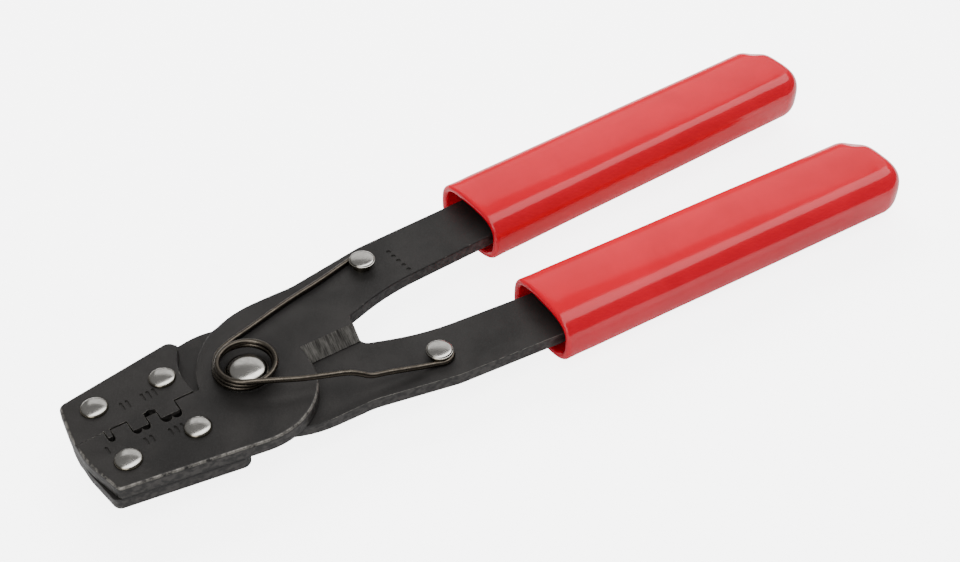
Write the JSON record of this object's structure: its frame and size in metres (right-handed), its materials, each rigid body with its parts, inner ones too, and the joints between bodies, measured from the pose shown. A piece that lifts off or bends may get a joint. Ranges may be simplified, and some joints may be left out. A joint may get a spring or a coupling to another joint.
{
  "type": "crimping tool",
  "caption": "Hand crimping tool with riveted plate levers, stepped crimp nests in the jaws, a shear wire cutter behind the pivot, a return spring and soft sleeve grips.",
  "frame": {"origin": "on the pivot axis, halfway between the sliding faces of the two levers", "axes": "+X from the pivot to the handles, +Y towards the upper handle, +Z along the pivot towards the side with the spring"},
  "size_m": [0.2005, 0.0602, 0.016],
  "materials": {
    "black_steel": "satin black oxide",
    "rivet_steel": "satin nickel",
    "washer_steel": "satin",
    "spring_steel": "dark drawn wire",
    "red_vinyl": "glossy"
  },
  "bodies": {
    "upper_half": {"upper_lever": "black_steel", "lower_jaw_die_plate": "black_steel", "pivot_rivet": "rivet_steel", "pivot_top_washer": "washer_steel", "pivot_bottom_washer": "washer_steel", "lower_front_jaw_rivet": "rivet_steel", "lower_rear_jaw_rivet": "rivet_steel", "upper_spring_post": "rivet_steel", "return_spring": "spring_steel", "upper_grip": "red_vinyl"},
    "lower_half": {"lower_lever": "black_steel", "upper_jaw_die_plate": "black_steel", "upper_front_jaw_rivet": "rivet_steel", "upper_rear_jaw_rivet": "rivet_steel", "lower_spring_post": "rivet_steel", "lower_grip": "red_vinyl"}
  },
  "joints": [
    {"name": "handle_pivot", "type": "hinge", "parent": "upper_half", "child": "lower_half", "pos_m": [0, 0, 0], "axis": [0, 0, -1], "range_deg": [0, 28], "stiffness_Nm_per_rad": 0.3, "springref_deg": -2.86, "deforming": ["return_spring"]}
  ]
}
